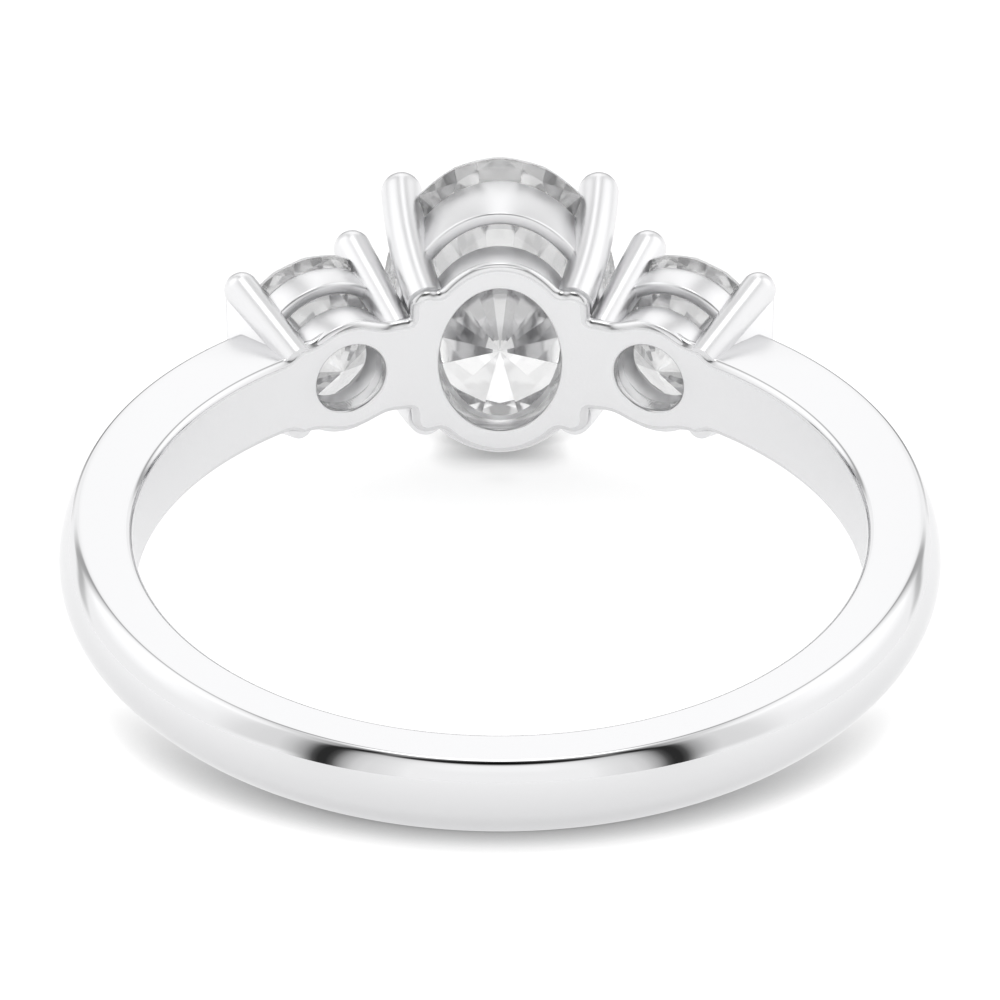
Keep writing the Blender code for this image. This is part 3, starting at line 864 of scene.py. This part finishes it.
# Each step is a distance inwards from the edge and a height above the finger hole
round_profile = [(BORE_FILLET * (1 - sine), BORE_FILLET * (1 - cosine)) for sine, cosine in quarter(6)]
round_profile += [(BACK_ROUND * (1 - cosine), BORE_FILLET + BACK_ROUND * sine) for sine, cosine in quarter(3)]
count = len(inner_edge)
for side, first in ((1, range(2 * count - 1, count - 1, -1)), (-1, range(count))):
    rows = [[below[i] for i in first]]
    for inwards, height in round_profile:
        points = moved_in(edge, inwards)
        rows.append([builder.verts.new(on_bore(point.x, side * point.y, height)) for point in points])
    rows.append([above[i] for i in first])
    strips(rows, closed=False)
print("each edge's round has", len(round_profile), "steps")

# %% The lining's holes, and the finished mesh
HOLE_LIP = 0.1 * MM
for basket, indices in zip(baskets, loops[1:]):
    rows = [[below[i] for i in indices]]
    for sine, cosine in quarter(3):
        points = hole_path(basket, HOLE_ROUND * (1 - sine))
        rows.append([builder.verts.new(on_bore(*point, HOLE_ROUND * (1 - cosine))) for point in points])
    wall = basket.out * (BRIDGE_THICKNESS - HOLE_LIP)
    rows.append([builder.verts.new(on_bore(*point) + wall) for point in hole_path(basket, 0)])
    rows.append([above[i] for i in indices])
    strips(rows, closed=True)
bmesh.ops.remove_doubles(builder, verts=builder.verts, dist=0.0005 * MM)
bmesh.ops.recalc_face_normals(builder, faces=builder.faces)
lining = object_from("finger_lining", mesh_from("finger_lining", builder), polished, satin)
finished(lining, sharp=radians(50))

# %% [markdown]
# ## Shoulders
#
# At each end of the head a wall rises from the shank to the two outer prongs. It was filed flat, so it is a
# hull of a few corners with narrow rounds on its edges.

# %% The corners of a shoulder wall
# On the shank: height above the finger hole, degrees from the palm, and distance in from the band's side
shank_corners = [(BORE_FILLET, 144.4, 0), (HEAD_SIDE_THICKNESS, 144.2, 0), (HEAD_THICKNESS, 140.2, 0.25 * MM)]
FOOT_LIFT = 0.1 * MM
FOOT_SPREAD = 0.22 * MM
TOP_SPREAD = 0.10 * MM
RIDGE_OUT = 0.40 * MM
RIDGE_IN = 0.16 * MM


def wall_corners(side, along, share):
    """The corners at one outer prong: its foot, its top, a ridge beside the top, and three on the shank."""
    foot = Vector((side * outer_foot.x, outer_foot.y, along * outer_foot.z))
    tip = Vector((side * outer_tip.x, outer_tip.y, along * outer_tip.z))
    low = foot + (tip - foot).normalized() * FOOT_LIFT + Vector((0, 0, along * FOOT_SPREAD))
    top = foot.lerp(tip, share) + Vector((0, 0, along * TOP_SPREAD))
    made = [low, top, top + Vector((side * RIDGE_OUT, 0, along * -RIDGE_IN))]
    for height, turned_by, recess in shank_corners:
        reach, angle = BORE_RADIUS + height, radians(turned_by)
        place = along * (HEAD_HALF_WIDTH - recess)
        made.append(Vector((side * reach * sin(angle), -reach * cos(angle), place)))
    return made


print("a shoulder wall has", len(wall_corners(1, 1, 1)), "corners at each prong")


# %% The shoulder walls
WALL_THICKNESS = 0.45 * MM
WALL_ROUND = 0.05 * MM


def shoulder(name, side, sides, thickness, share):
    builder = bmesh.new()
    for along in sides:
        for corner in wall_corners(side, along, share):
            builder.verts.new(corner)
            if thickness:
                builder.verts.new(corner - Vector((0, 0, along * thickness)))
    hull = bmesh.ops.convex_hull(builder, input=builder.verts)
    inner = set(hull["geom_interior"] + hull["geom_unused"])
    bmesh.ops.delete(builder, geom=list(inner), context="VERTS")
    bmesh.ops.recalc_face_normals(builder, faces=builder.faces)
    bmesh.ops.dissolve_limit(builder, angle_limit=radians(1), verts=builder.verts, edges=builder.edges)
    made = object_from(name, mesh_from(name, builder), tumbled)
    soft = made.modifiers.new("rounds", "BEVEL")
    soft.width = WALL_ROUND
    soft.segments = 3
    soft.limit_method = "ANGLE"
    soft.angle_limit = radians(20)
    made.data = plain_mesh(made)
    made.modifiers.clear()
    return finished(made, sharp=radians(30))


wall_share = (right.girdle - 0.35 * MM) / right.girdle_top
for side, word in ((-1, "left"), (1, "right")):
    shoulder(f"{word}_shoulder_front", side, (1,), thickness=WALL_THICKNESS, share=1)
    shoulder(f"{word}_shoulder_back", side, (-1,), thickness=WALL_THICKNESS, share=1)
    shoulder(f"{word}_shoulder_wall", side, (-1, 1), thickness=0, share=wall_share)

# %% [markdown]
# ## Stones
#
# A cutter grinds flat facets onto a round or oval outline, one angle at a time, and the facets meet where
# their planes cross. This does the same: it starts from a many-sided disc and slices off what lies above
# each facet's plane. An oval is the same cut drawn out along one axis.

# %% The facets of a stone one wide, with heights in millimetres from the girdle
FACET_FOLDS = 8
STAR_SHARE = 0.80


def polar(share, turns, height):
    angle = pi / FACET_FOLDS * turns
    return Vector((share * cos(angle), share * sin(angle), height))


def facet_planes(basket):
    """Yields each facet as a point and a normal that points outwards."""
    crown, top = basket.crown / MM, GIRDLE_THICKNESS / MM
    table_height = top + crown
    star_height = top + (1 - STAR_SHARE * cos(pi / FACET_FOLDS)) * crown / (1 - TABLE_SHARE)
    triangles = [[polar(TABLE_SHARE, turns, table_height) for turns in (0, 4, 8)]]
    for i in range(0, 2 * FACET_FOLDS, 2):
        star = polar(STAR_SHARE, i + 1, star_height)
        table, next_table = (polar(TABLE_SHARE, i + j, table_height) for j in (0, 2))
        corner, between, after = (polar(1, i + j, top) for j in range(3))
        triangles += [(table, next_table, star), (star, corner, between), (star, between, after)]
        triangles.append((table, corner, star))
    culet = Vector((0, 0, -basket.pavilion / MM))
    for i in range(2 * FACET_FOLDS):
        beside = polar(1, i + 2, 0) - polar(1, i - 2, 0)
        triangles.append((culet, polar(1, i, 0), polar(1, i, 0) + beside))
    middle = Vector((0, 0, top / 2))
    for first, second, third in triangles:
        normal = (second - first).cross(third - first).normalized()
        yield first, normal if normal.dot(first - middle) > 0 else -normal


print("each stone has", len(list(facet_planes(center))), "facets and a girdle")

# %% Cutting the stones
GIRDLE_SIDES = 144
GIRDLE = 1
WELD = 2e-4


def cut_stone(name, basket):
    builder = bmesh.new()
    depth = 2 * (basket.pavilion + GIRDLE_THICKNESS + basket.crown) / MM
    bmesh.ops.create_cone(builder, cap_ends=True, segments=GIRDLE_SIDES, radius1=1, radius2=1, depth=depth)
    for place, normal in facet_planes(basket):
        sliced = bmesh.ops.bisect_plane(
            builder, geom=builder.verts[:] + builder.edges[:] + builder.faces[:], dist=1e-5,
            plane_co=place, plane_no=normal, clear_outer=True,
        )
        rim = [item for item in sliced["geom_cut"] if isinstance(item, bmesh.types.BMEdge)]
        if rim:
            bmesh.ops.holes_fill(builder, edges=rim, sides=0)
    bmesh.ops.remove_doubles(builder, verts=builder.verts, dist=WELD)
    bmesh.ops.dissolve_degenerate(builder, dist=WELD, edges=builder.edges)
    lifted = Matrix.Translation((0, 0, basket.girdle)) @ Matrix.Diagonal((*basket.stone_axes, MM, 1))
    bmesh.ops.transform(builder, matrix=lifted, verts=builder.verts)
    bmesh.ops.recalc_face_normals(builder, faces=builder.faces)
    for face in builder.faces:
        face.material_index = GIRDLE if abs(face.normal.z) < 0.02 else 0
    return object_from(name, mesh_from(name, builder), *stone_finishes)


for basket, node in ((center, "center_stone"), (left, "left_side_stone"), (right, "right_side_stone")):
    stone = cut_stone(basket.name + "_diamond", basket)
    finished(stone, node, sharp=radians(0.5), matrix=LAID @ basket.matrix())

# %% [markdown]
# ## The table
#
# Small white pieces are often photographed on a light table, a sheet of milky acrylic that glows, so that
# their shadows stay pale. Lamps under a real sheet would be slow to trace, so one wide square with a soft
# white surface glows by itself instead. Close to the ring a measure of how open each place is darkens the
# glow that the camera sees. This painted shadow gives the narrow shadow where the ring touches, and
# reflections see the table without it. What a stone shows of the table is mostly the shaded part close
# behind it, so light that came through a stone meets a flat dimmer glow, a painted shade.

# %% A white light table, with a painted contact shadow and painted shade seen through the stones
GLOW = 0.68
PAINTED_SHADE_GLOW_IN_STONES = 0.32
GLOW_FOR_CAMERA = 0.72
PAINTED_SHADOW_REACH = 0.86 * MM
floor_builder = bmesh.new()
bmesh.ops.create_grid(floor_builder, x_segments=1, y_segments=1, size=2.0)
milky, nodes = new_material("milky_acrylic_painted_shadow")
floor = object_from("floor", mesh_from("floor", floor_builder), milky)
# Painted contact shadow: the glow that the camera sees is darkened where the ring stands close
near = add(nodes, "ShaderNodeAmbientOcclusion", {"Distance": PAINTED_SHADOW_REACH}, samples=8).outputs["AO"]
near = add(nodes, MATH, [near, GLOW_FOR_CAMERA], operation="MULTIPLY")
ray = add(nodes, "ShaderNodeLightPath").outputs
# Painted shade: light that came through a stone meets a flat dimmer glow, for the table shaded behind the
# head
glow = add(nodes, MIX, {0: ray["Is Transmission Ray"], 2: GLOW, 3: PAINTED_SHADE_GLOW_IN_STONES})
glow = add(nodes, MIX, {0: ray["Is Camera Ray"], 2: glow, 3: near})
shader = add(nodes, PRINCIPLED, {
    "Base Color": linear("#b1b1b1"), "Roughness": 0.6,
    "Emission Color": linear("#ffffff"), "Emission Strength": glow,
})
add(nodes, OUTPUT, {"Surface": shader})
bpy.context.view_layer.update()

# %% [markdown]
# ## The studio's light
#
# A polished ring is a mirror, so the room is part of its likeness. What the photo's metal reflects tells
# what stood round it: a pale tent, a large soft box on each side with a dark gap round it, a dark round
# above the camera and a bright roof. Panels in the scene could do the same, but each would be placed by
# trial. A brightness for every direction is simpler, and it leaves no object to shadow another. A direction
# is given by its elevation and by its turn from the side away from the camera.

# %% Directions, and a helper for their tones
world = bpy.data.worlds.new("studio")
scene = bpy.context.scene
scene.world = world
world.use_nodes = True
nodes = world.node_tree.nodes
nodes.clear()
direction = add(nodes, "ShaderNodeTexCoord").outputs["Generated"]
parts = add(nodes, SEPARATE, {"Vector": direction}).outputs
elevation = add(nodes, MATH, [parts["Z"]], operation="ARCSINE")
sideways = add(nodes, MATH, [parts["X"]], operation="ABSOLUTE")
from_back = add(nodes, MATH, [sideways, parts["Y"]], operation="ARCTAN2")
turned = add(nodes, MATH, [from_back, 1 / pi], operation="MULTIPLY")


def fill(ramp, stops):
    """Sets a ramp's stops from pairs of place and value."""
    elements = ramp.color_ramp.elements
    while len(elements) < len(stops):
        elements.new(0.5)
    for element, (place, value) in zip(elements, stops):
        element.position = place
        element.color = (value, value, value, 1.0)
    return ramp


print(len(nodes), "nodes so far")

# %% The tent's brightness, in degrees from the camera's side
BRIGHTEST = 1.48
around = {0: 1.44, 10: 1.44, 15: 1.37, 20: 1.27, 25: 1.11, 30: 1.00, 52: 0.95, 60: 0.98, 65: 1.03, 70: 1.16,
          75: 1.27, 80: 1.31, 85: 1.37, 95: 1.45, 125: 1.46, 140: 1.25, 165: 1.22, 175: 1.36, 180: 1.36}
stops = sorted((1 - turned_by / 180, light / BRIGHTEST) for turned_by, light in around.items())
tone = fill(add(nodes, RAMP, {"Fac": turned}), stops)
print("the tent's darkest tone is", min(around.values()), "and its brightest", max(around.values()))

# %% The dark gap round each side box, a rounded frame in elevation and turn
SQUARENESS = 6.0
back_edge = add(nodes, MATH, [elevation, -0.66, radians(62)], operation="MULTIPLY_ADD")
front_edge = radians(180 - 42.3)
across = add(nodes, MAP_RANGE, {
    "Value": from_back, "From Min": back_edge, "From Max": front_edge, "To Min": -1.0, "To Max": 1.0,
}, clamp=False)
across = add(nodes, MATH, [across], operation="ABSOLUTE")
across = add(nodes, MATH, [across, SQUARENESS], operation="POWER")
upwards = add(nodes, MAP_RANGE, {
    "Value": elevation, "From Min": radians(20), "From Max": radians(69),
}, clamp=False)
upwards = add(nodes, MATH, [upwards, 0.0], operation="MAXIMUM")
upwards = add(nodes, MATH, [upwards, SQUARENESS], operation="POWER")
from_middle = add(nodes, MATH, [across, upwards], operation="ADD")
from_middle = add(nodes, MATH, [from_middle, 1 / SQUARENESS], operation="POWER")
halved = add(nodes, MATH, [from_middle, 0.5], operation="MULTIPLY")
gap = fill(add(nodes, RAMP, {"Fac": halved}), [
    (0.36, 0.0), (0.405, 0.22), (0.44, 0.52), (0.47, 0.93), (0.488, 1.0),
    (0.512, 1.0), (0.53, 0.93), (0.56, 0.50), (0.595, 0.14), (0.63, 0.0),
])
depth = fill(add(nodes, RAMP, {"Fac": turned}), [
    (0.0, 0.0), (0.10, 0.5), (0.17, 0.60), (0.29, 0.55), (0.36, 0.32),
    (0.55, 0.32), (0.68, 0.60), (0.72, 0.965), (1.0, 0.965),
])
gap = add(nodes, MATH, [gap, depth], operation="MULTIPLY")
open_share = add(nodes, MATH, [1.0, gap], operation="SUBTRACT")
light = add(nodes, MATH, [tone, open_share], operation="MULTIPLY")
print("the gaps close in front at", round(180 - degrees(front_edge), 1), "degrees from the camera")

# %% Paler near the table, and a dark foot to the wall behind
LOW_LIGHT = 1.22
WALL_FOOT = 0.30
falling = {"To Min": 1.0, "To Max": 0.0}
capped = add(nodes, MATH, [light, LOW_LIGHT / BRIGHTEST], operation="MINIMUM")
lowness = add(nodes, MAP_RANGE, {
    "Value": elevation, "From Min": radians(12), "From Max": radians(30), **falling,
}, interpolation_type="SMOOTHSTEP")
light = add(nodes, MIX, {0: lowness, 2: light, 3: capped})
horizon = add(nodes, MAP_RANGE, {
    "Value": elevation, "From Min": radians(1), "From Max": radians(9), **falling,
}, interpolation_type="SMOOTHSTEP")
beside = fill(add(nodes, RAMP, {"Fac": turned}), [(0.70, 1.0), (0.74, 0.0)])
horizon = add(nodes, MATH, [horizon, beside], operation="MULTIPLY")
light = add(nodes, MIX, {0: horizon, 2: light, 3: LOW_LIGHT / BRIGHTEST})
wall_foot = add(nodes, MAP_RANGE, {
    "Value": elevation, "From Min": radians(15), "From Max": radians(22), "To Min": WALL_FOOT,
})
beyond = add(nodes, MAP_RANGE, {"Value": turned, "From Min": 0.13, "From Max": 0.21})
wall_foot = add(nodes, MIX, {0: beyond, 2: wall_foot, 3: 1.0})
light = add(nodes, MATH, [light, wall_foot], operation="MULTIPLY")
print("low directions are held under", LOW_LIGHT, "and the foot of the wall behind is at", WALL_FOOT)

# %% The dark round above the camera and the bright roof
ROUND_ELEVATION = radians(56)
ROOF = 3.2
round_at = (0.0, -cos(ROUND_ELEVATION), sin(ROUND_ELEVATION))
near_round = add(nodes, VECTOR_MATH, [direction, round_at], operation="DOT_PRODUCT").outputs["Value"]
shade = fill(add(nodes, RAMP, {"Fac": near_round}), [
    (0.71, 1.0), (0.81, 0.97), (0.883, 0.88), (0.9135, 0.78), (0.94, 0.35), (0.96, 0.04), (1.0, 0.0),
])
roof = add(nodes, MAP_RANGE, {
    "Value": elevation, "From Min": radians(74), "From Max": radians(87), "To Min": 1.0, "To Max": ROOF,
}, interpolation_type="SMOOTHSTEP")
for factor in (shade, roof, BRIGHTEST):
    light = add(nodes, MATH, [light, factor], operation="MULTIPLY")
print("the roof is", ROOF, "times as bright as the tent beside it")

# %% A plain white backdrop for the camera, and enough bounces for the stones
seen = add(nodes, "ShaderNodeLightPath").outputs["Is Camera Ray"]
light = add(nodes, MATH, [light, seen], operation="MAXIMUM")
shown = add(nodes, "ShaderNodeBackground", {"Color": linear("#ffffff"), "Strength": light})
add(nodes, "ShaderNodeOutputWorld", {"Surface": shown})
scene.cycles.max_bounces = 24
scene.cycles.glossy_bounces = 16
scene.cycles.transmission_bounces = 24
scene.view_settings.view_transform = "Standard"
print("the studio's light has", len(nodes), "nodes")

# %% [markdown]
# ## The camera
#
# A long lens looks at the ring from the palm side and about twenty-five degrees above the table. The head
# shows through the finger hole, and the shank hardly narrows with distance. The camera is placed in the
# drawing's axes and laid down with the ring, which keeps the view square to the finger hole.

# %% The camera
camera_data = bpy.data.cameras.new("camera")
camera_data.sensor_width = 36.0
camera_data.lens = 192.2
camera_data.clip_start = 0.005
camera_data.clip_end = 10.0
camera = object_from("camera", camera_data)
above = radians(33.18)
target = Vector((0, 2.173 * MM, 0))
backwards = Vector((0, -cos(above), sin(above)))
from_target = backwards * 122.4 * MM
aim = Matrix.Translation(target + from_target) @ Matrix.Rotation(pi / 2 - above, 4, "X")
camera.matrix_world = LAID @ aim
scene.camera = camera
print(f"the camera is {camera.matrix_world.translation.z / MM:.0f} mm above the table")
